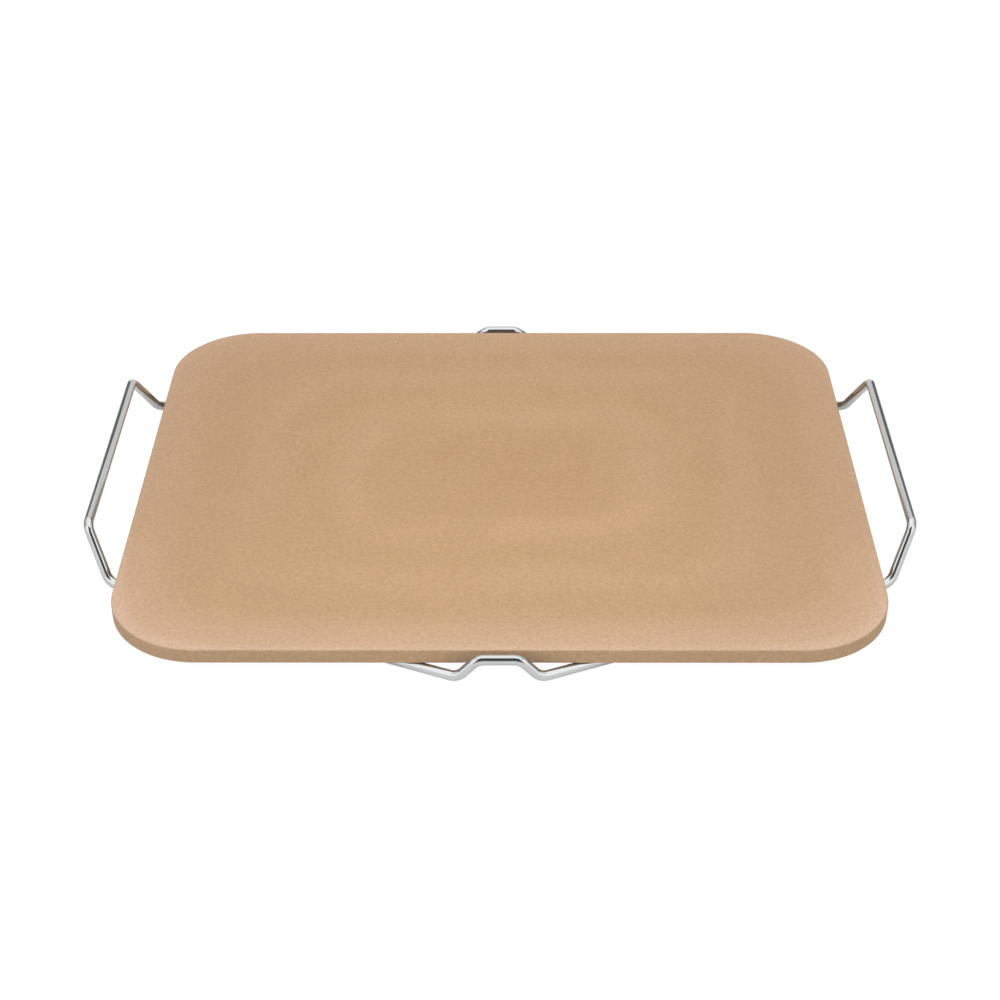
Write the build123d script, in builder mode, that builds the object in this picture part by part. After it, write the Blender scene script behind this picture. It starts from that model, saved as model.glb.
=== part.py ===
"""Rectangular pizza stone on a chromed wire rack.

Millimetres, +Z up, +X along the longer side. The origin is on the table, under the middle of the
stone. The rack is one closed loop of round wire: four straight runs lie on the table and carry the
stone, a low stop tab rises at the front and at the rear, and a handle rises at each end.
"""

import os

from build123d import *

# The stone
stone_length = 380.0
stone_depth = 305.0
stone_thickness = 8.0
stone_corner_radius = 46.0
stone_edge_radius = 0.8

# The rack's wire, and the gap that keeps the loose stone just off it
wire_diameter = 5.0
seat_gap = 0.3

# The stop tabs: their gap to the stone's edge, and the places of their feet at the wire's centre line
tab_gap = 3.0
foot_from_middle = 19.6
foot_beyond_tab = 1.2

# The rear tab is a little narrower and lower than the front one: how far their tops stand above the
# stone's face, and the places of their corners at the wire's centre line
front_tab_above_face = 1.0
front_tab_corner_from_middle = 10.2
rear_tab_above_face = 0.7
rear_tab_corner_from_middle = 8.8

# The handles, measured from the stone's edge or face to the wire's centre line
leg_base_reach = 6.2
leg_base_from_middle = 84.5
handle_reach = 16.8
handle_corner_from_middle = 70.5
handle_rise = 14.5

# Bend radii at the wire's centre line
tab_bend_radius = 8.0
foot_bend_radius = 8.0
leg_base_bend_radius = 8.0
handle_bend_radius = 7.0

# The butt welds, dressed level with the wire above and below, and left proud at the sides
weld_length = 3.0
weld_bulge = 0.5

# Places that follow from the sizes above
wire_radius = wire_diameter / 2
stone_underside = wire_diameter + seat_gap
stone_face = stone_underside + stone_thickness
tab_y = stone_depth / 2 + tab_gap + wire_radius
foot_y = tab_y + foot_beyond_tab
leg_base_x = stone_length / 2 + leg_base_reach
handle_x = stone_length / 2 + handle_reach
handle_height = stone_face + handle_rise

# The front half of the loop, from the weld at the front left round to the weld at the rear right,
# without its tab's corners
foot_left = Vector(-foot_from_middle, -foot_y, wire_radius)
foot_right = Vector(foot_from_middle, -foot_y, wire_radius)
leg_base_front = Vector(leg_base_x, -leg_base_from_middle, wire_radius)
handle_front = Vector(handle_x, -handle_corner_from_middle, handle_height)
handle_rear = Vector(handle_x, handle_corner_from_middle, handle_height)
leg_base_rear = Vector(leg_base_x, leg_base_from_middle, wire_radius)

# The front left weld lies midway along its straight run, and the other weld half a turn round from it
leg_base_left = Vector(-leg_base_x, -leg_base_from_middle, wire_radius)
weld_middle = (foot_left + leg_base_left) * 0.5
weld_direction = (foot_left - leg_base_left).normalized()
wire_start = weld_middle + weld_direction * (weld_length / 2)
wire_end = (weld_middle - weld_direction * (weld_length / 2)).rotate(Axis.Z, 180)

before_tab = [wire_start, foot_left]
after_tab = [foot_right, leg_base_front, handle_front, handle_rear, leg_base_rear, wire_end]
half_loop_radii = [
    foot_bend_radius,
    tab_bend_radius,
    tab_bend_radius,
    foot_bend_radius,
    leg_base_bend_radius,
    handle_bend_radius,
    handle_bend_radius,
    leg_base_bend_radius,
]

# Distance of each weld section from the weld's middle, and its half width
weld_sections = [
    (-weld_length / 2, wire_radius),
    (0.0, wire_radius + weld_bulge),
    (weld_length / 2, wire_radius),
]

os.makedirs("parts", exist_ok=True)

# The stone slab, with round corners in plan and eased edges
with BuildPart() as baking_stone:
    with BuildSketch(Plane.XY.offset(stone_underside)):
        RectangleRounded(stone_length, stone_depth, stone_corner_radius)
    extrude(amount=stone_thickness)
    stone_rims = baking_stone.faces().filter_by(Axis.Z).edges()
    fillet(stone_rims, radius=stone_edge_radius)
baking_stone.part.label = "baking_stone"
export_step(baking_stone.part, "parts/baking_stone.step")

# The rack is two halves and two welds, the second of each turned half a turn about the middle. The
# halves differ only in their tabs.
front_tab = (front_tab_corner_from_middle, front_tab_above_face)
rear_tab = (rear_tab_corner_from_middle, rear_tab_above_face)
rack_halves = [
    ("rack_wire_front", "rack_weld_front_left", 0, front_tab),
    ("rack_wire_rear", "rack_weld_rear_right", 180, rear_tab),
]
for wire_name, weld_name, turn, (tab_corner_from_middle, tab_above_face) in rack_halves:
    tab_height = stone_face + tab_above_face - wire_radius
    tab_left = Vector(-tab_corner_from_middle, -tab_y, tab_height)
    tab_right = Vector(tab_corner_from_middle, -tab_y, tab_height)
    half_loop_points = before_tab + [tab_left, tab_right] + after_tab
    turned_points = [point.rotate(Axis.Z, turn) for point in half_loop_points]
    with BuildPart() as rack_wire:
        with BuildLine() as wire_path:
            FilletPolyline(*turned_points, radius=half_loop_radii)
        centre_line = wire_path.wire()
        with BuildSketch(Plane(origin=centre_line @ 0, z_dir=centre_line % 0)):
            Circle(wire_radius)
        sweep(path=centre_line)
    rack_wire.part.label = wire_name
    export_step(rack_wire.part, f"parts/{wire_name}.step")

    weld_axis = weld_direction.rotate(Axis.Z, turn)
    weld_place = weld_middle.rotate(Axis.Z, turn)
    with BuildPart() as rack_weld:
        for along, half_width in weld_sections:
            section = Plane(
                origin=weld_place + weld_axis * along,
                x_dir=weld_axis.cross(Vector(0, 0, 1)),
                z_dir=weld_axis,
            )
            with BuildSketch(section):
                Ellipse(half_width, wire_radius)
        loft()
    rack_weld.part.label = weld_name
    export_step(rack_weld.part, f"parts/{weld_name}.step")
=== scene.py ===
"""Looks of a rectangular pizza stone that lies loose on a chromed wire rack.

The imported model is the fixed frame: lengths are in metres, +Z is up, +X runs along the stone's
longer side, and the origin is on the table under the middle of the stone.
"""

import logging
import math
from dataclasses import dataclass, field
from enum import Enum
from typing import Callable

import bpy
from mathutils import Matrix, Quaternion, Vector


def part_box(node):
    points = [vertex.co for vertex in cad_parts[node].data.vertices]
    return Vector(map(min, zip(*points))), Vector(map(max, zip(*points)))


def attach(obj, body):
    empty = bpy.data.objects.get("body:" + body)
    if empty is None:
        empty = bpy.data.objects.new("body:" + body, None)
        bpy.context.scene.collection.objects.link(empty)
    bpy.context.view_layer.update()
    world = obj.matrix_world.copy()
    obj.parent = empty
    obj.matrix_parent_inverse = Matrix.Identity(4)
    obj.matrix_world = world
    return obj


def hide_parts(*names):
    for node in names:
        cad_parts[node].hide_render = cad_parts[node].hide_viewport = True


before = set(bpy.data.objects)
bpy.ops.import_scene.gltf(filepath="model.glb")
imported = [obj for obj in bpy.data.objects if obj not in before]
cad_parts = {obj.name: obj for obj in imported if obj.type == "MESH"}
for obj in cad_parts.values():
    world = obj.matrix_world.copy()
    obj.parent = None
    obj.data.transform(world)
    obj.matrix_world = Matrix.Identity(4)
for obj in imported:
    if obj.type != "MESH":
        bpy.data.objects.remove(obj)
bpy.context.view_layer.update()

Tree = bpy.types.NodeTree
Socket = bpy.types.NodeSocket

MM = 0.001
# Points this near to a level lie on it, and points of the wire this near to each other are one
LEVEL_TOLERANCE = 0.01 * MM
MERGE_DISTANCE = 0.0005 * MM
# The noise nodes seldom give less than the first or more than the second
NOISE_RANGE = (0.3, 0.7)
WHITE = (1.0, 1.0, 1.0, 1.0)
ORIGIN = (0.0, 0.0, 0.0)
log = logging.getLogger("pizza_stone")


class Body(Enum):
    """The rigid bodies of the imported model."""

    RACK = "rack"
    STONE = "stone"


class Slot(Enum):
    """The record's material slots."""

    CLAY = "fired_clay"
    WIRE = "chromed_wire"
    WELD = "chromed_weld"


class RackHalf(Enum):
    """The two halves of the rack: wire node, weld node, and turn about the middle in degrees."""

    FRONT = ("rack_wire_front", "rack_weld_front_left", 0.0)
    REAR = ("rack_wire_rear", "rack_weld_rear_right", 180.0)

    @property
    def wire_node(self) -> str:
        """Name of the half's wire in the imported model."""
        return self.value[0]

    @property
    def weld_node(self) -> str:
        """Name of the half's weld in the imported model."""
        return self.value[1]

    @property
    def turn(self) -> Matrix:
        """The half's turn about the vertical axis through the origin."""
        return Matrix.Rotation(math.radians(self.value[2]), 3, "Z")


def linear_colour(hex_colour: str) -> tuple[float, float, float, float]:
    """Turns an sRGB hex colour into the linear colour that a shader socket takes.

    Args:
        hex_colour: six hex digits after a number sign.

    Returns:
        Linear red, green and blue, and an alpha of one.
    """
    channels = [int(hex_colour[i : i + 2], 16) / 255 for i in (1, 3, 5)]
    linear = [c / 12.92 if c <= 0.04045 else ((c + 0.055) / 1.055) ** 2.4 for c in channels]
    return (linear[0], linear[1], linear[2], 1.0)


def per_metre(size_mm: float) -> float:
    """Scale of a pattern on Object coordinates whose features are that many millimetres across."""
    return 1 / (size_mm * MM)


def add_node(tree: Tree, kind: str, inputs: dict | None = None, **settings) -> bpy.types.Node:
    """Adds a shader node with its settings, and fills or links its inputs.

    Args:
        tree: the node tree that takes the node.
        kind: the node's type, such as ShaderNodeMath.
        inputs: values or output sockets, by the name or the number of the input they go to.
        settings: the node's own properties.

    Returns:
        The new node.
    """
    node = tree.nodes.new(kind)
    for name, value in settings.items():
        setattr(node, name, value)
    for key, value in (inputs or {}).items():
        if isinstance(value, Socket):
            tree.links.new(value, node.inputs[key])
        else:
            node.inputs[key].default_value = value
    return node


def calculate(tree: Tree, operation: str, *values: float | Socket, clamp: bool = False) -> Socket:
    """Adds a math node.

    Args:
        tree: the node tree that takes the node.
        operation: what it does with its values, such as ADD.
        values: numbers or output sockets.
        clamp: says if the result is held between nought and one.

    Returns:
        The socket that gives the result.
    """
    inputs = dict(enumerate(values))
    node = add_node(tree, "ShaderNodeMath", inputs, operation=operation, use_clamp=clamp)
    return node.outputs[0]


def new_material(name: str) -> tuple[bpy.types.Material, Tree]:
    """Makes an empty node material, and returns it with its node tree."""
    material = bpy.data.materials.new(name)
    material.use_nodes = True
    material.node_tree.nodes.clear()
    return material, material.node_tree


def deselect_all() -> None:
    """Leaves nothing selected and nothing active, in object mode."""
    bpy.ops.object.select_all(action="DESELECT")
    bpy.context.view_layer.objects.active = None


def select_where(piece: bpy.types.Object, part: str, wanted: Callable[..., bool]) -> None:
    """Selects the vertices, edges or faces of the piece in edit mode that pass a test.

    Args:
        piece: the object being edited.
        part: vertices, edges or polygons.
        wanted: takes the mesh and one of those elements, and says if it is wanted.
    """
    modes = {"vertices": "VERT", "edges": "EDGE", "polygons": "FACE"}
    bpy.ops.mesh.select_mode(type=modes[part])
    bpy.ops.mesh.select_all(action="DESELECT")
    bpy.ops.object.mode_set(mode="OBJECT")
    for element in getattr(piece.data, part):
        if wanted(piece.data, element):
            element.select = True
    bpy.ops.object.mode_set(mode="EDIT")


def finish_piece(
    piece: bpy.types.Object, name: str, material: bpy.types.Material, smooth_deg: float
) -> None:
    """Names, shades and dresses a modelled piece, and turns its faces outwards.

    Args:
        piece: the object, left in object mode by its maker.
        name: the piece's name.
        material: its finish.
        smooth_deg: faces that meet at less than this angle are shaded as one.
    """
    deselect_all()
    piece.select_set(True)
    bpy.context.view_layer.objects.active = piece
    bpy.ops.object.transform_apply(location=True, rotation=True, scale=True)
    bpy.ops.object.mode_set(mode="EDIT")
    bpy.ops.mesh.select_all(action="SELECT")
    bpy.ops.mesh.normals_make_consistent(inside=False)
    bpy.ops.object.mode_set(mode="OBJECT")
    bpy.ops.object.shade_smooth_by_angle(angle=math.radians(smooth_deg))
    piece.name = name
    piece.data.name = name
    piece.data.materials.clear()
    piece.data.materials.append(material)
    deselect_all()


def stand_in_for(piece: bpy.types.Object, node: str, body: Body) -> None:
    """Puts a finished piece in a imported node's place.

    Args:
        piece: the finished piece.
        node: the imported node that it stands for.
        body: the body that it moves with.
    """
    low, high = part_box(node)
    corners = [Vector(corner) for corner in piece.bound_box]
    off = max(
        max(abs(min(c[i] for c in corners) - low[i]), abs(max(c[i] for c in corners) - high[i]))
        for i in range(3)
    )
    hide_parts(node)
    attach(piece, body.value)
    faces = len(piece.data.polygons)
    log.info("%s for %s: %d faces, box within %.2f mm", piece.name, node, faces, off / MM)


@dataclass(frozen=True)
class NoiseLayer:
    """Light and dark patches: their size, how much finer noise lies over them, and their spread."""

    size_mm: float
    detail: float
    spread: float


@dataclass(frozen=True)
class RingShape:
    """A rounded box about a middle line along X.

    At a power of two the box's ends are round, and above that they are squarer.
    """

    half_line_mm: float
    power: float


@dataclass(frozen=True)
class FiredClay:
    """Cordierite clay, pressed in a steel mould and fired without a glaze.

    To the eye it is matt and warm beige, with a fine sandy grain. Faint rings follow its outline,
    where the clay flowed out from the middle under the press. It darkens a little towards the rear
    and the two ends: that is painted shade, where the lamps' light falls off. The skin near the rim
    is paler, most of all at the front, and the sides, which rubbed on the mould's wall, are plain.
    The rim's extra paleness at the front is painted light from the front lamps, and its last step
    at the edge is partly wear and partly a painted highlight.
    """

    name: str = "pressed_fired_cordierite_clay"
    base: str = "#C9A178"
    # Ring colours from the middle of the slab outwards, at those distances in millimetres
    rings: tuple[tuple[float, str], ...] = (
        (0.0, "#C79C73"),
        (36.0, "#C89F76"),
        (56.0, "#CEA57D"),
        (78.0, "#C7A076"),
        (97.0, "#CAA37B"),
        (116.0, "#C7A078"),
    )
    ring_middle_mm: tuple[float, float] = (1.0, 2.5)
    # The rings take one shape near the middle and another further out
    inner_shape: RingShape = RingShape(half_line_mm=24.0, power=3.5)
    outer_shape: RingShape = RingShape(half_line_mm=30.0, power=5.2)
    inner_to_outer_mm: tuple[float, float] = (60.0, 85.0)
    # How far the rings wander, over what length, and the noise at which they do so most
    ring_drift_mm: float = 5.0
    ring_drift_size_mm: float = 45.0
    ring_drift_noise: tuple[float, float] = (0.25, 0.75)
    soft_detail: float = 1.0
    # The rings are fainter in some patches than in others
    patch_size_mm: float = 40.0
    patch_noise: tuple[float, float] = (0.35, 0.6)
    patch_strength: tuple[float, float] = (0.3, 1.1)
    # The rim's colour, where it begins, and where its last step to the edge begins. That last step
    # is partly wear and partly a painted highlight where the edge catches light.
    rim: str = "#F5D8C4"
    rim_shape: RingShape = RingShape(half_line_mm=37.5, power=6.5)
    rim_from_mm: float = 122.0
    edge_from_mm: float = 147.5
    edge_wear_and_painted_highlight_share: float = 0.5
    # The rim's strength, its strength at the front, and between which shares of the half depth
    # along Y it changes. The extra strength at the front is painted light from the front lamps,
    # over the clay's own paler rim.
    rim_share: float = 0.12
    rim_share_front_with_painted_light: float = 0.25
    painted_front_light_from: tuple[float, float] = (-0.26, -0.92)
    # The sides' colour, and how upright the normal is where it begins and where it is full
    side: str = "#BF9E7B"
    side_from: tuple[float, float] = (0.98, 0.6)
    # Painted shade: tints that darken the rear and the two ends where the lamps' light falls off,
    # and where each begins and is full
    painted_rear_shade: str = "#F8F8F7"
    painted_rear_shade_from_mm: tuple[float, float] = (-125.0, 20.0)
    painted_end_shade: str = "#FCFBFD"
    painted_end_shade_from_mm: tuple[float, float] = (30.0, 160.0)
    # Real grains are about half a millimetre across. That is too fine for the picture, so the
    # finest layer is drawn at a millimetre.
    blotch: NoiseLayer = NoiseLayer(size_mm=16.0, detail=2.0, spread=0.024)
    speck: NoiseLayer = NoiseLayer(size_mm=2.2, detail=1.0, spread=0.1)
    grain: NoiseLayer = NoiseLayer(size_mm=1.0, detail=0.5, spread=0.115)
    bump_depth_mm: float = 0.05
    bump_strength: float = 0.5
    roughness: float = 0.92

    def material(self, half_depth: float) -> bpy.types.Material:
        """Builds the finish.

        Args:
            half_depth: half of the slab's size along Y, in metres.

        Returns:
            The material.
        """
        material, tree = new_material(self.name)
        coordinates = add_node(tree, "ShaderNodeTexCoord")
        place = coordinates.outputs["Object"]
        axes = add_node(tree, "ShaderNodeSeparateXYZ", {0: place})
        distance = self.ring_distance(tree, place, half_depth)
        colour = self.ring_colour(tree, place, distance, half_depth)
        to_rim = self.box_distance(tree, place, (0.0, 0.0), self.rim_shape, half_depth)
        # Paler rim of the clay, with painted light along the front and a painted highlight at the
        # edge
        colour = self.paler_rim_and_painted_front_light(tree, axes, to_rim, colour, half_depth)
        colour = self.plain_sides(tree, coordinates.outputs["Normal"], colour)
        # Painted shade towards the rear and the two ends, where the lamps' light falls off
        colour = self.paint_light_falloff(tree, axes, colour)

        layers = (self.blotch, self.speck, self.grain)
        blotch, speck, grain = (
            self.noise(tree, place, layer.size_mm, layer.detail) for layer in layers
        )
        shades = self.shade(tree, (blotch, speck, grain), layers)
        bump = add_node(
            tree,
            "ShaderNodeBump",
            {
                "Strength": self.bump_strength,
                "Distance": self.bump_depth_mm * MM,
                "Height": calculate(tree, "ADD", grain, speck),
            },
        )
        shader = add_node(
            tree,
            "ShaderNodeBsdfPrincipled",
            {
                "Base Color": self.mix(tree, 1.0, colour, shades, "MULTIPLY"),
                "Roughness": self.roughness,
                "Normal": bump.outputs[0],
            },
        )
        add_node(tree, "ShaderNodeOutputMaterial", {"Surface": shader.outputs[0]})
        return material

    def ring_distance(self, tree: Tree, place: Socket, half_depth: float) -> Socket:
        """Distance from the rings' middle, with a little drift.

        Args:
            tree: the material's node tree.
            place: the Object coordinates.
            half_depth: half of the slab's size along Y.

        Returns:
            The socket that gives the distance as a share of the half depth.
        """
        inner, outer = (
            self.box_distance(tree, place, self.ring_middle_mm, shape, half_depth)
            for shape in (self.inner_shape, self.outer_shape)
        )
        first, last = (limit * MM / half_depth for limit in self.inner_to_outer_mm)
        share = self.map_range(tree, outer, (first, last), (0, 1), "SMOOTHSTEP")
        mixed = add_node(tree, "ShaderNodeMix", {0: share, 2: inner, 3: outer}, data_type="FLOAT")
        drift = self.noise(tree, place, self.ring_drift_size_mm, self.soft_detail)
        most = self.ring_drift_mm * MM / half_depth
        moved = self.map_range(tree, drift, self.ring_drift_noise, (-most, most))
        return calculate(tree, "ADD", mixed.outputs[0], moved)

    def box_distance(
        self,
        tree: Tree,
        place: Socket,
        middle_mm: tuple[float, float],
        shape: RingShape,
        half_depth: float,
    ) -> Socket:
        """Distance out from a middle line, for rings that are rounded boxes.

        Args:
            tree: the material's node tree.
            place: the Object coordinates.
            middle_mm: the rings' middle in X and Y.
            shape: the rings' shape.
            half_depth: half of the slab's size along Y.

        Returns:
            The socket that gives the distance as a share of the half depth.
        """
        middle = (middle_mm[0] * MM, middle_mm[1] * MM, 0)
        offset = add_node(tree, "ShaderNodeVectorMath", {0: place, 1: middle}, operation="SUBTRACT")
        reach = add_node(
            tree, "ShaderNodeVectorMath", {0: offset.outputs[0]}, operation="ABSOLUTE"
        )
        sides = add_node(tree, "ShaderNodeSeparateXYZ", {0: reach.outputs[0]})
        half_line = shape.half_line_mm * MM
        past_line = calculate(tree, "SUBTRACT", sides.outputs["X"], half_line, clamp=True)
        raised = []
        for side in (past_line, sides.outputs["Y"]):
            share = calculate(tree, "DIVIDE", side, half_depth)
            raised.append(calculate(tree, "POWER", share, shape.power))
        total = calculate(tree, "ADD", *raised)
        return calculate(tree, "POWER", total, 1 / shape.power)

    def ring_colour(
        self, tree: Tree, place: Socket, distance: Socket, half_depth: float
    ) -> Socket:
        """Lays the rings over the base colour, stronger in some places than in others.

        Args:
            tree: the material's node tree.
            place: the Object coordinates.
            distance: the ring distance as a share of the half depth.
            half_depth: half of the slab's size along Y.

        Returns:
            The colour socket.
        """
        ramp = add_node(tree, "ShaderNodeValToRGB", {"Fac": distance})
        ramp.color_ramp.interpolation = "EASE"
        stops = ramp.color_ramp.elements
        while len(stops) < len(self.rings):
            stops.new(0.5)
        for stop, (at_mm, colour) in zip(stops, self.rings):
            stop.position = at_mm * MM / half_depth
            stop.color = linear_colour(colour)
        patches = self.noise(tree, place, self.patch_size_mm, self.soft_detail)
        strength = self.map_range(
            tree, patches, self.patch_noise, self.patch_strength, "SMOOTHSTEP"
        )
        return self.mix(tree, strength, linear_colour(self.base), ramp.outputs["Color"])

    def paler_rim_and_painted_front_light(
        self,
        tree: Tree,
        axes: bpy.types.Node,
        distance: Socket,
        colour: Socket,
        half_depth: float,
    ) -> Socket:
        """Fades the colour to the paler rim, most of all along the front, where the extra paleness
        is painted light and the edge's last step is partly a painted highlight.

        Args:
            tree: the material's node tree.
            axes: the node that parts the Object coordinates into X, Y and Z.
            distance: the distance out to the rim as a share of the half depth.
            colour: the colour so far.
            half_depth: half of the slab's size along Y.

        Returns:
            The colour socket.
        """
        rim_from, edge_from = (
            start * MM / half_depth for start in (self.rim_from_mm, self.edge_from_mm)
        )
        near_rim = self.map_range(tree, distance, (rim_from, 1.0), (0, 1))
        # Partly a painted highlight where the edge catches light, partly wear
        edge_wear_and_painted_highlight = self.map_range(tree, distance, (edge_from, 1.0), (0, self.edge_wear_and_painted_highlight_share))
        near = calculate(tree, "ADD", near_rim, edge_wear_and_painted_highlight)
        # The rim's extra strength at the front is painted light from the front lamps
        begins, full = (share * half_depth for share in self.painted_front_light_from)
        strengths = (self.rim_share, self.rim_share_front_with_painted_light)
        most = self.map_range(tree, axes.outputs["Y"], (begins, full), strengths, "SMOOTHSTEP")
        share = calculate(tree, "MULTIPLY", near, most)
        return self.mix(tree, share, colour, linear_colour(self.rim))

    def plain_sides(self, tree: Tree, normal: Socket, colour: Socket) -> Socket:
        """Gives the faces that stand upright the sides' own colour."""
        upward = add_node(tree, "ShaderNodeSeparateXYZ", {0: normal})
        level = calculate(tree, "ABSOLUTE", upward.outputs["Z"])
        share = self.map_range(tree, level, self.side_from, (0, 1))
        return self.mix(tree, share, colour, linear_colour(self.side))

    def paint_light_falloff(self, tree: Tree, axes: bpy.types.Node, colour: Socket) -> Socket:
        """Paints shade into the colour towards the rear and the two ends, where the lamps' light
        falls off.

        Args:
            tree: the material's node tree.
            axes: the node that parts the Object coordinates into X, Y and Z.
            colour: the colour so far.

        Returns:
            The colour socket.
        """
        from_middle = calculate(tree, "ABSOLUTE", axes.outputs["X"])
        # Each tint is painted shade, where the lamps' light falls off
        for place, limits_mm, shade_colour in (
            (axes.outputs["Y"], self.painted_rear_shade_from_mm, self.painted_rear_shade),
            (from_middle, self.painted_end_shade_from_mm, self.painted_end_shade),
        ):
            limits = (limits_mm[0] * MM, limits_mm[1] * MM)
            share = self.map_range(tree, place, limits, (0, 1), "SMOOTHSTEP")
            painted_shaded = self.mix(tree, 1.0, colour, linear_colour(shade_colour), "MULTIPLY")
            colour = self.mix(tree, share, colour, painted_shaded)
        return colour

    def noise(self, tree: Tree, place: Socket, size_mm: float, detail: float) -> Socket:
        """Soft noise whose features are that many millimetres across, from nought to one."""
        inputs = {"Vector": place, "Scale": per_metre(size_mm), "Detail": detail}
        return add_node(tree, "ShaderNodeTexNoise", inputs).outputs[0]

    def map_range(
        self,
        tree: Tree,
        value: Socket,
        source: tuple[float, float],
        result: tuple[float, float],
        interpolation: str = "LINEAR",
    ) -> Socket:
        """Maps a value from one range to another, and holds it at both ends."""
        return add_node(
            tree,
            "ShaderNodeMapRange",
            {"Value": value, 1: source[0], 2: source[1], 3: result[0], 4: result[1]},
            interpolation_type=interpolation,
        ).outputs[0]

    def mix(
        self,
        tree: Tree,
        share: float | Socket,
        first: tuple | Socket,
        second: tuple | Socket,
        blend: str = "MIX",
    ) -> Socket:
        """Mixes two colours by that share of the second."""
        return add_node(
            tree,
            "ShaderNodeMix",
            {0: share, 6: first, 7: second},
            data_type="RGBA",
            blend_type=blend,
        ).outputs[2]

    def shade(
        self, tree: Tree, values: tuple[Socket, ...], layers: tuple[NoiseLayer, ...]
    ) -> Socket:
        """Multiplies the layers' light and dark together into a factor about one.

        Args:
            tree: the material's node tree.
            values: each layer's noise.
            layers: the layers, in the same order.

        Returns:
            The socket that gives the factor.
        """
        product = 1.0
        for value, layer in zip(values, layers):
            limits = (1 - layer.spread / 2, 1 + layer.spread / 2)
            factor = self.map_range(tree, value, NOISE_RANGE, limits)
            product = calculate(tree, "MULTIPLY", product, factor)
        return product


@dataclass(frozen=True)
class PlatedMetal:
    """A plated metal, whose mirror is broken by waves in its skin."""

    name: str
    colour: str
    roughness: float
    wave_size_mm: float
    wave_detail: float
    wave_depth_mm: float

    def material(self) -> bpy.types.Material:
        """Builds the finish, and returns the material."""
        material, tree = new_material(self.name)
        place = add_node(tree, "ShaderNodeTexCoord").outputs["Object"]
        inputs = {
            "Vector": place,
            "Scale": per_metre(self.wave_size_mm),
            "Detail": self.wave_detail,
        }
        wave = add_node(tree, "ShaderNodeTexNoise", inputs)
        bump = add_node(
            tree,
            "ShaderNodeBump",
            {"Strength": 1.0, "Distance": self.wave_depth_mm * MM, "Height": wave.outputs[0]},
        )
        shader = add_node(
            tree,
            "ShaderNodeBsdfPrincipled",
            {
                "Base Color": linear_colour(self.colour),
                "Metallic": 1.0,
                "Roughness": self.roughness,
                "Normal": bump.outputs[0],
            },
        )
        add_node(tree, "ShaderNodeOutputMaterial", {"Surface": shader.outputs[0]})
        return material


@dataclass(frozen=True)
class ChromePlate(PlatedMetal):
    """Bright chromium plate on drawn steel wire.

    To the eye it is a mirror with a cool grey tint, broken only by faint waves that the drawing die
    and the plating leave along the wire.
    """

    name: str = "bright_chrome_plated_drawn_steel"
    colour: str = "#C3C5C5"
    roughness: float = 0.04
    wave_size_mm: float = 9.0
    wave_detail: float = 1.0
    wave_depth_mm: float = 0.01


@dataclass(frozen=True)
class DressedWeld(PlatedMetal):
    """A butt weld in steel wire, ground level above and below and plated with the wire.

    To the eye it is duller than the wire, with the uneven skin of a weld under the plate.
    """

    name: str = "ground_chrome_plated_butt_weld"
    colour: str = "#B4B6B8"
    roughness: float = 0.22
    wave_size_mm: float = 0.9
    wave_detail: float = 2.0
    wave_depth_mm: float = 0.08


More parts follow.
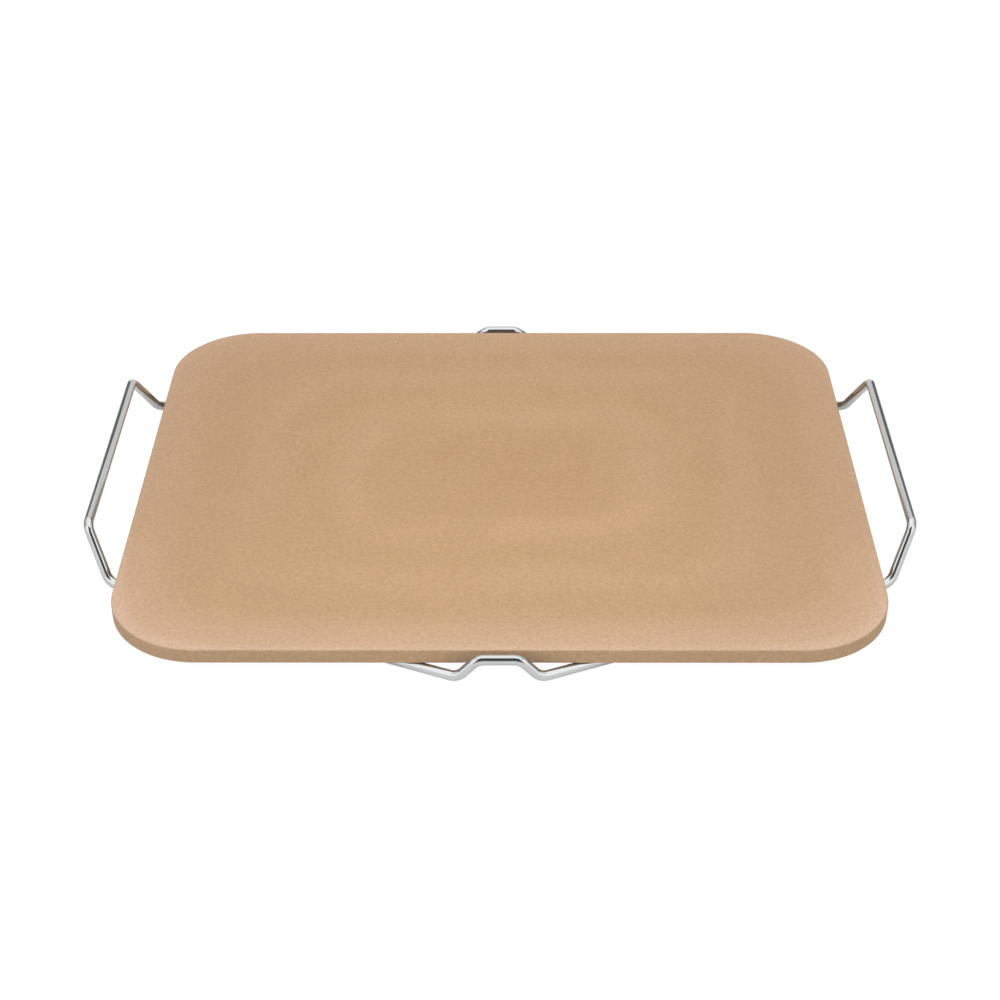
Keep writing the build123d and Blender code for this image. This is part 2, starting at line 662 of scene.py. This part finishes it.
@dataclass
class StoneSlab:
    """The loose stone: a flat slab with round corners in plan and eased edges."""

    corner_radius: float = 46 * MM
    edge_radius: float = 0.8 * MM
    corner_steps: int = 72
    # Length of the outline's short edges, how often its long ones are divided, and the most cuts
    # that one division makes
    outline_step: float = 1.0 * MM
    divisions: int = 3
    most_cuts: int = 15
    side_rows: int = 6
    edge_steps: int = 4
    # Widths of the rows of faces between the rounded edge and the flat middle
    face_insets: tuple[float, ...] = (1.5 * MM, 4 * MM)
    # Depth and size of the wear, and how far in from the outline it ends, in edge radii
    worn_depth: float = 0.12 * MM
    worn_size: float = 2.2 * MM
    worn_noise_depth: int = 2
    worn_reach: float = 1.05
    smooth_deg: float = 35
    finish: FiredClay = field(default_factory=FiredClay)
    node: str = "baking_stone"

    def build(self) -> bpy.types.Object:
        """Models the slab and dresses it.

        Returns:
            The finished piece.
        """
        low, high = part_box(self.node)
        half_length, half_depth = high.x, high.y
        deselect_all()
        bpy.ops.mesh.primitive_plane_add(size=2, location=(0, 0, low.z), scale=(1, 1, 1))
        slab = bpy.context.active_object
        slab.scale = (half_length, half_depth, 1)
        bpy.ops.object.transform_apply(location=True, rotation=True, scale=True)
        bpy.ops.object.mode_set(mode="EDIT")
        self.round_outline(slab)
        self.raise_sides(slab, low.z, high.z)
        self.ease_rims(slab, low.z, high.z)
        bpy.ops.object.mode_set(mode="OBJECT")
        self.wear_rims(slab)
        finish_piece(slab, "stone_slab", self.finish.material(half_depth), self.smooth_deg)
        stand_in_for(slab, self.node, Body.STONE)
        return slab

    def round_outline(self, slab: bpy.types.Object) -> None:
        """Rounds the plate's four corners, and divides its straight sides into short edges."""
        bpy.ops.mesh.select_all(action="SELECT")
        bpy.ops.mesh.bevel(
            offset=self.corner_radius, segments=self.corner_steps, affect="VERTICES"
        )
        for _ in range(self.divisions):
            select_where(slab, "edges", self.is_long)
            longest = max(self.edge_length(slab.data, edge) for edge in slab.data.edges)
            cuts = min(self.most_cuts, math.ceil(longest / self.outline_step) - 1)
            if cuts > 0:
                bpy.ops.mesh.subdivide(number_cuts=cuts)

    def raise_sides(self, slab: bpy.types.Object, bottom: float, top: float) -> None:
        """Extrudes the plate to the slab's thickness in equal rows."""
        select_where(slab, "polygons", lambda mesh, face: True)
        for _ in range(self.side_rows):
            bpy.ops.mesh.extrude_region_move(
                TRANSFORM_OT_translate={"value": (0, 0, (top - bottom) / self.side_rows)}
            )

    def ease_rims(self, slab: bpy.types.Object, bottom: float, top: float) -> None:
        """Rounds the upper and the lower edge, and insets both faces near the rim."""
        select_where(
            slab,
            "edges",
            lambda mesh, edge: any(
                all(abs(mesh.vertices[v].co.z - level) < LEVEL_TOLERANCE for v in edge.vertices)
                for level in (bottom, top)
            ),
        )
        bpy.ops.mesh.bevel(offset=self.edge_radius, segments=self.edge_steps, affect="EDGES")
        for level in (bottom, top):
            select_where(
                slab,
                "polygons",
                lambda mesh, face: abs(face.center.z - level) < LEVEL_TOLERANCE
                and len(face.vertices) > 4,
            )
            for thickness in self.face_insets:
                bpy.ops.mesh.inset(thickness=thickness)

    def wear_rims(self, slab: bpy.types.Object) -> None:
        """Roughens the rims and sides a little inwards, as pressed clay is; the faces stay flat."""
        low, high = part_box(self.node)
        inside = self.edge_radius * self.worn_reach
        group = slab.vertex_groups.new(name="rims")
        rim = [
            v.index
            for v in slab.data.vertices
            if not self.within_rim(v.co, high, inside) or low.z + inside < v.co.z < high.z - inside
        ]
        group.add(rim, 1.0, "REPLACE")
        pattern = bpy.data.textures.new("clay_rims", "CLOUDS")
        pattern.noise_scale = self.worn_size
        pattern.noise_depth = self.worn_noise_depth
        worn = slab.modifiers.new("worn_rims", "DISPLACE")
        worn.texture = pattern
        worn.vertex_group = group.name
        worn.texture_coords = "LOCAL"
        worn.mid_level = 0.0
        worn.strength = -self.worn_depth
        deselect_all()
        slab.select_set(True)
        bpy.context.view_layer.objects.active = slab
        bpy.ops.object.modifier_apply(modifier=worn.name)
        slab.vertex_groups.clear()

    def within_rim(self, place: Vector, high: Vector, inside: float) -> bool:
        """Says if a point lies inside the outline by more than that distance."""
        reach = Vector((abs(place.x), abs(place.y)))
        middle = Vector((high.x - self.corner_radius, high.y - self.corner_radius))
        if reach.x > middle.x and reach.y > middle.y:
            return (reach - middle).length < self.corner_radius - inside
        return reach.x < high.x - inside and reach.y < high.y - inside

    def is_long(self, mesh: bpy.types.Mesh, edge: bpy.types.MeshEdge) -> bool:
        """Says if an edge of the outline is to be divided."""
        return self.edge_length(mesh, edge) > 2 * self.outline_step

    @staticmethod
    def edge_length(mesh: bpy.types.Mesh, edge: bpy.types.MeshEdge) -> float:
        """Length of one edge of a mesh."""
        first, last = (mesh.vertices[v].co for v in edge.vertices)
        return (first - last).length


@dataclass
class WireBender:
    """Feeds and bends a round wire in edit mode, as a bending machine does.

    Each feed extrudes the last ring of the tube, and each bend spins it about the bend's own axis.
    """

    radius: float
    sides: int
    degrees_per_step: float
    place: Vector
    heading: Vector
    least_steps: int = 4
    piece: bpy.types.Object | None = None

    def begin(self) -> None:
        """Adds the wire's first ring, square to its heading, and opens edit mode."""
        deselect_all()
        bpy.ops.mesh.primitive_circle_add(
            vertices=self.sides,
            radius=self.radius,
            location=self.place,
            rotation=self.heading.to_track_quat("Z", "Y").to_euler(),
        )
        self.piece = bpy.context.active_object
        bpy.ops.object.transform_apply(location=True, rotation=True, scale=True)
        bpy.ops.object.mode_set(mode="EDIT")
        bpy.ops.mesh.select_mode(type="EDGE")
        bpy.ops.mesh.select_all(action="SELECT")

    def feed(self, length: float) -> None:
        """Extrudes the last ring straight ahead by that length."""
        step = self.heading * length
        bpy.ops.mesh.extrude_region_move(TRANSFORM_OT_translate={"value": step})
        self.place = self.place + step

    def bend(self, heading: Vector, radius: float) -> None:
        """Spins the last ring round to a new heading.

        Args:
            heading: the direction that the wire leaves in.
            radius: the bend's radius at the centre line.
        """
        axis = self.heading.cross(heading).normalized()
        angle = self.heading.angle(heading)
        centre = self.place + axis.cross(self.heading) * radius
        steps = max(self.least_steps, math.ceil(math.degrees(angle) / self.degrees_per_step))
        bpy.ops.mesh.spin(steps=steps, angle=-angle, center=centre, axis=axis)
        self.place = centre + Matrix.Rotation(angle, 3, axis) @ (self.place - centre)
        self.heading = heading

    def end(self) -> bpy.types.Object:
        """Closes both ends of the tube, and returns it in object mode."""
        bpy.ops.mesh.select_all(action="SELECT")
        bpy.ops.mesh.remove_doubles(threshold=MERGE_DISTANCE)
        bpy.ops.mesh.fill_holes(sides=0)
        bpy.ops.object.mode_set(mode="OBJECT")
        return self.piece


@dataclass(frozen=True)
class StopTab:
    """A stop tab's sizes: where its corners lie, and how far it stands above the stone's face."""

    corner_from_middle: float
    above_face: float


@dataclass
class WireRack:
    """The rack: a closed loop of round wire, as two halves that differ only in their stop tabs."""

    wire_radius: float = 2.5 * MM
    tab_gap: float = 3.0 * MM
    front_tab: StopTab = StopTab(corner_from_middle=10.2 * MM, above_face=1.0 * MM)
    rear_tab: StopTab = StopTab(corner_from_middle=8.8 * MM, above_face=0.7 * MM)
    foot_from_middle: float = 19.6 * MM
    foot_beyond_tab: float = 1.2 * MM
    leg_base_reach: float = 6.2 * MM
    leg_base_from_middle: float = 84.5 * MM
    handle_reach: float = 16.8 * MM
    handle_corner_from_middle: float = 70.5 * MM
    handle_rise: float = 14.5 * MM
    tab_bend_radius: float = 8.0 * MM
    foot_bend_radius: float = 8.0 * MM
    leg_base_bend_radius: float = 8.0 * MM
    handle_bend_radius: float = 7.0 * MM
    weld_length: float = 3.0 * MM
    weld_bulge: float = 0.5 * MM
    # Rows along a weld, and how much lower every other one is, as a share of the bulge
    weld_rows: int = 12
    weld_ripple: float = 0.12
    wire_sides: int = 48
    degrees_per_step: float = 3.0
    smooth_deg: float = 40
    plate: ChromePlate = field(default_factory=ChromePlate)
    weld: DressedWeld = field(default_factory=DressedWeld)

    def corners(self, tab: StopTab) -> list[tuple[Vector, float]]:
        """A half's bends as they lie at the front.

        Args:
            tab: the half's stop tab.

        Returns:
            Each bend's corner, where its straight runs would meet, and its radius.
        """
        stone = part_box("baking_stone")[1]
        low = self.wire_radius
        foot_y = -(stone.y + self.tab_gap + self.wire_radius + self.foot_beyond_tab)
        tab_y = -(stone.y + self.tab_gap + self.wire_radius)
        tab_z = stone.z + tab.above_face - self.wire_radius
        base_x = stone.x + self.leg_base_reach
        base_y = self.leg_base_from_middle
        handle_x = stone.x + self.handle_reach
        handle_y = self.handle_corner_from_middle
        handle_z = stone.z + self.handle_rise
        return [
            (Vector((-self.foot_from_middle, foot_y, low)), self.foot_bend_radius),
            (Vector((-tab.corner_from_middle, tab_y, tab_z)), self.tab_bend_radius),
            (Vector((tab.corner_from_middle, tab_y, tab_z)), self.tab_bend_radius),
            (Vector((self.foot_from_middle, foot_y, low)), self.foot_bend_radius),
            (Vector((base_x, -base_y, low)), self.leg_base_bend_radius),
            (Vector((handle_x, -handle_y, handle_z)), self.handle_bend_radius),
            (Vector((handle_x, handle_y, handle_z)), self.handle_bend_radius),
            (Vector((base_x, base_y, low)), self.leg_base_bend_radius),
        ]

    def build(self) -> list[bpy.types.Object]:
        """Models both halves and both welds, and dresses them.

        Returns:
            The finished pieces.
        """
        chrome = self.plate.material()
        dressed = self.weld.material()
        pieces = []
        for half, tab in ((RackHalf.FRONT, self.front_tab), (RackHalf.REAR, self.rear_tab)):
            corners = self.corners(tab)
            foot, base = corners[0][0], corners[-1][0]
            base_left = Vector((-base.x, -base.y, base.z))
            weld_middle = (foot + base_left) / 2
            run = (foot - base_left).normalized()
            wire = self.bend_wire(half.turn, corners, weld_middle, run)
            finish_piece(wire, half.wire_node.replace("rack_", ""), chrome, self.smooth_deg)
            stand_in_for(wire, half.wire_node, Body.RACK)
            bead = self.lay_weld(half.turn @ weld_middle, half.turn @ run)
            finish_piece(bead, half.weld_node.replace("rack_", ""), dressed, self.smooth_deg)
            stand_in_for(bead, half.weld_node, Body.RACK)
            pieces += [wire, bead]
        return pieces

    def bend_wire(
        self, turn: Matrix, corners: list[tuple[Vector, float]], weld_middle: Vector, run: Vector
    ) -> bpy.types.Object:
        """Draws one half of the loop, from one weld to the other.

        Args:
            turn: the half's turn about the middle.
            corners: the half's bends as they lie at the front, and their radii.
            weld_middle: the middle of the front left weld.
            run: the wire's heading as it leaves that weld.

        Returns:
            The tube, in object mode.
        """
        places = [weld_middle + run * self.weld_length / 2]
        places += [place for place, radius in corners]
        places += [RackHalf.REAR.turn @ (weld_middle - run * self.weld_length / 2)]
        places = [turn @ place for place in places]
        headings = [(after - before).normalized() for before, after in zip(places, places[1:])]
        bender = WireBender(
            self.wire_radius, self.wire_sides, self.degrees_per_step, places[0], headings[0]
        )
        bender.begin()
        for number, (corner, radius) in enumerate(corners, start=1):
            half_turn = headings[number - 1].angle(headings[number]) / 2
            bend_starts = places[number] - headings[number - 1] * radius * math.tan(half_turn)
            bender.feed((bend_starts - bender.place).length)
            bender.bend(headings[number], radius)
        bender.feed((places[-1] - bender.place).length)
        return bender.end()

    def lay_weld(self, middle: Vector, run: Vector) -> bpy.types.Object:
        """Models one weld: a short barrel, proud at its sides and level above and below.

        Args:
            middle: the weld's middle.
            run: the wire's direction there.

        Returns:
            The bead, in object mode.
        """
        deselect_all()
        bpy.ops.mesh.primitive_cylinder_add(
            vertices=self.wire_sides,
            radius=self.wire_radius,
            depth=self.weld_length,
            end_fill_type="NGON",
        )
        bead = bpy.context.active_object
        bpy.ops.object.mode_set(mode="EDIT")
        rows = self.weld_rows
        levels = [self.weld_length * (row / rows - 0.5) for row in range(1, rows)]
        for level in levels:
            bpy.ops.mesh.select_all(action="SELECT")
            bpy.ops.mesh.bisect(plane_co=(0, 0, level), plane_no=(0, 0, 1))
        for number, level in enumerate(levels):
            select_where(bead, "vertices", lambda mesh, v: abs(v.co.z - level) < LEVEL_TOLERANCE)
            height = 1 - self.weld_ripple * (number % 2)
            swell = math.cos(math.pi * level / self.weld_length) * height
            wide = 1 + swell * self.weld_bulge / self.wire_radius
            bpy.ops.transform.resize(value=(wide, 1, 1), center_override=(0, 0, level))
        bpy.ops.object.mode_set(mode="OBJECT")
        up = Vector((0, 0, 1))
        across = up.cross(run).normalized()
        axes = Matrix((across, up, run)).transposed().to_4x4()
        bead.matrix_world = Matrix.Translation(middle) @ axes
        return bead


@dataclass(frozen=True)
class Panel:
    """A cloth stretched on a frame: a softbox's front, a white wall, or a dark flag.

    The chrome mirrors it at one level along its lower edge and another along its upper edge, where
    one is white. The lit panels also light the object; the others give no light and cast no shadow.
    """

    name: str
    place: tuple[float, float, float]
    size: tuple[float, float]
    aim: tuple[float, float, float]
    lower_level: float
    upper_level: float
    lit: float = 0.0

    def hang(self) -> None:
        """Turns the panel towards its aim, and adds its cloth and its lamp."""
        turn = (Vector(self.aim) - Vector(self.place)).to_track_quat("-Z", "Y")
        self.stretch_cloth(turn)
        if self.lit > 0:
            self.add_lamp(turn)

    def stretch_cloth(self, turn: Quaternion) -> None:
        """Adds the cloth, which only glossy rays see."""
        deselect_all()
        bpy.ops.mesh.primitive_plane_add(size=1)
        cloth = bpy.context.active_object
        cloth.name = self.name
        cloth.scale = (self.size[0], self.size[1], 1)
        cloth.rotation_euler = turn.to_euler()
        cloth.location = self.place
        material, tree = new_material(self.name)
        place = add_node(tree, "ShaderNodeTexCoord").outputs["Object"]
        axes = add_node(tree, "ShaderNodeSeparateXYZ", {0: place})
        level = add_node(
            tree,
            "ShaderNodeMapRange",
            {
                "Value": axes.outputs["Y"],
                "From Min": -0.5,
                "From Max": 0.5,
                "To Min": self.lower_level,
                "To Max": self.upper_level,
            },
        )
        inputs = {"Color": WHITE, "Strength": level.outputs[0]}
        glow = add_node(tree, "ShaderNodeEmission", inputs)
        add_node(tree, "ShaderNodeOutputMaterial", {"Surface": glow.outputs[0]})
        cloth.data.materials.append(material)
        cloth.visible_camera = False
        cloth.visible_diffuse = False
        cloth.visible_transmission = False
        cloth.visible_volume_scatter = False
        cloth.visible_shadow = False

    def add_lamp(self, turn: Quaternion) -> None:
        """Adds the lamp behind the cloth, of the same size, which only lights matt surfaces."""
        lamp = bpy.data.lights.new(self.name, "AREA")
        lamp.shape = "RECTANGLE"
        lamp.size, lamp.size_y = self.size
        lamp.energy = self.lit * math.pi * self.size[0] * self.size[1]
        holder = bpy.data.objects.new(self.name + "_lamp", lamp)
        bpy.context.scene.collection.objects.link(holder)
        holder.location = self.place
        holder.rotation_euler = turn.to_euler()
        holder.visible_camera = False
        holder.visible_glossy = False


@dataclass
class Studio:
    """A white table under softboxes, with dark cloths round the camera and in the rear corners."""

    lens_mm: float = 70.6
    sensor_mm: float = 36.0
    camera_place: Vector = field(default_factory=lambda: Vector((5.0, -876.7, 589.8)) * MM)
    camera_pitch_deg: float = 34.14
    camera_yaw_deg: float = -0.339
    camera_roll_deg: float = 0.187
    room_level: float = 0.34
    floor_half: float = 6.0
    floor_colour: str = "#E4E4E4"
    # How far the table glows and how far it is lit, where the camera sees it and in the chrome
    seen_floor: tuple[float, float] = (0.96, 0.10)
    mirrored_floor: tuple[float, float] = (0.22, 0.82)
    # Name, place, size, aim, lower level, upper level, and the light that it gives
    panels: tuple[Panel, ...] = (
        Panel("overhead_softbox", (0.0, 0.1, 1.0), (1.2, 1.2), (0.0, 0.1, 0.0), 1.5, 1.5, 1.4),
        Panel("front_left_softbox", (-0.7, -0.7, 0.55), (1.0, 0.9), ORIGIN, 1.1, 1.75, 1.18),
        Panel("front_right_softbox", (0.7, -0.7, 0.55), (1.0, 0.9), ORIGIN, 1.1, 1.75, 1.12),
        Panel("camera_flag", (0.0, -0.453, 0.433), (0.56, 0.68), (0.0, 0.418, -0.058), 0.11, 0.09),
        Panel("rear_wall", (0.0, 0.95, 0.35), (0.9, 0.7), (0.0, 0.0, 0.35), 0.92, 0.95),
        Panel("rear_left_flag", (-0.9, 0.9, 0.31), (0.88, 0.62), (-0.9, 0.0, 0.31), 0.2, 0.2),
        Panel("rear_right_flag", (0.9, 0.9, 0.31), (0.88, 0.62), (0.9, 0.0, 0.31), 0.2, 0.2),
        Panel("rear_left_top_flag", (-0.39, 0.9, 0.53), (0.14, 0.18), (-0.39, 0.0, 0.53), 0.2, 0.2),
        Panel("rear_right_top_flag", (0.39, 0.9, 0.53), (0.14, 0.18), (0.39, 0.0, 0.53), 0.2, 0.2),
        Panel("left_flag", (-1.3, 0.42, 0.37), (1.05, 0.75), (0.0, 0.42, 0.37), 0.36, 0.36),
        Panel("right_flag", (1.3, 0.42, 0.37), (1.05, 0.75), (0.0, 0.42, 0.37), 0.36, 0.36),
    )

    def build(self) -> None:
        """Sets up the world, the floor, the panels and the camera."""
        self.room()
        self.floor()
        for panel in self.panels:
            panel.hang()
        self.camera()
        bpy.context.scene.view_settings.view_transform = "Standard"

    def mirrored(self, tree: Tree, ray: bpy.types.Node) -> Socket:
        """One for glossy and transmission rays, and nought for others."""
        glossy, through = ray.outputs["Is Glossy Ray"], ray.outputs["Is Transmission Ray"]
        return calculate(tree, "MAXIMUM", glossy, through)

    def room(self) -> None:
        """White where it is seen or mirrored, and a dimmer room where it lights things."""
        world = bpy.data.worlds.new("white_room")
        bpy.context.scene.world = world
        world.use_nodes = True
        tree = world.node_tree
        tree.nodes.clear()
        ray = add_node(tree, "ShaderNodeLightPath")
        mirrored = self.mirrored(tree, ray)
        seen = calculate(tree, "MAXIMUM", mirrored, ray.outputs["Is Camera Ray"])
        light, white = (
            add_node(tree, "ShaderNodeBackground", {"Color": WHITE, "Strength": strength})
            for strength in (self.room_level, 1.0)
        )
        shown = add_node(
            tree, "ShaderNodeMixShader", {0: seen, 1: light.outputs[0], 2: white.outputs[0]}
        )
        add_node(tree, "ShaderNodeOutputWorld", {"Surface": shown.outputs[0]})

    def lifted_white(self, tree: Tree, glow: float, lit: float) -> Socket:
        """White that glows by one share and takes light and shadow by the other."""
        emission = add_node(tree, "ShaderNodeEmission", {"Color": WHITE, "Strength": glow})
        diffuse = add_node(tree, "ShaderNodeBsdfDiffuse", {"Color": (lit, lit, lit, 1)})
        both = {0: emission.outputs[0], 1: diffuse.outputs[0]}
        return add_node(tree, "ShaderNodeAddShader", both).outputs[0]

    def floor(self) -> None:
        """A white table top, lifted to white for the camera and clear from below.

        It keeps the object's faint shadow.
        """
        deselect_all()
        bpy.ops.mesh.primitive_plane_add(size=2 * self.floor_half)
        floor = bpy.context.active_object
        floor.name = "table_top"
        material, tree = new_material("white_table_top")
        ray = add_node(tree, "ShaderNodeLightPath")
        plain = add_node(tree, "ShaderNodeBsdfDiffuse", {"Color": linear_colour(self.floor_colour)})
        shader = plain.outputs[0]
        for wanted, shares in (
            (self.mirrored(tree, ray), self.mirrored_floor),
            (ray.outputs["Is Camera Ray"], self.seen_floor),
        ):
            choices = {0: wanted, 1: shader, 2: self.lifted_white(tree, *shares)}
            shader = add_node(tree, "ShaderNodeMixShader", choices).outputs[0]
        below = add_node(tree, "ShaderNodeNewGeometry").outputs["Backfacing"]
        clear = add_node(tree, "ShaderNodeBsdfTransparent").outputs[0]
        surface = add_node(tree, "ShaderNodeMixShader", {0: below, 1: shader, 2: clear})
        add_node(tree, "ShaderNodeOutputMaterial", {"Surface": surface.outputs[0]})
        floor.data.materials.append(material)

    def camera(self) -> None:
        """The photograph's view, from in front and above."""
        camera = bpy.data.cameras.new("camera")
        camera.sensor_width = self.sensor_mm
        camera.lens = self.lens_mm
        holder = bpy.data.objects.new("camera", camera)
        bpy.context.scene.collection.objects.link(holder)
        aim = Matrix.Rotation(math.radians(-self.camera_yaw_deg), 4, "Z")
        tilt = Matrix.Rotation(math.radians(90 - self.camera_pitch_deg), 4, "X")
        roll = Matrix.Rotation(math.radians(-self.camera_roll_deg), 4, "Z")
        holder.matrix_world = Matrix.Translation(self.camera_place) @ aim @ tilt @ roll
        bpy.context.scene.camera = holder


def main() -> None:
    logging.basicConfig(level=logging.INFO, format="%(name)s: %(message)s")
    Studio().build()
    slab = StoneSlab().build()
    rack = WireRack().build()
    log.info("%d pieces", 1 + len(rack))
    log.info("%s spans %s", slab.name, [round(side, 4) for side in slab.dimensions])


if __name__ == "__main__":
    main()
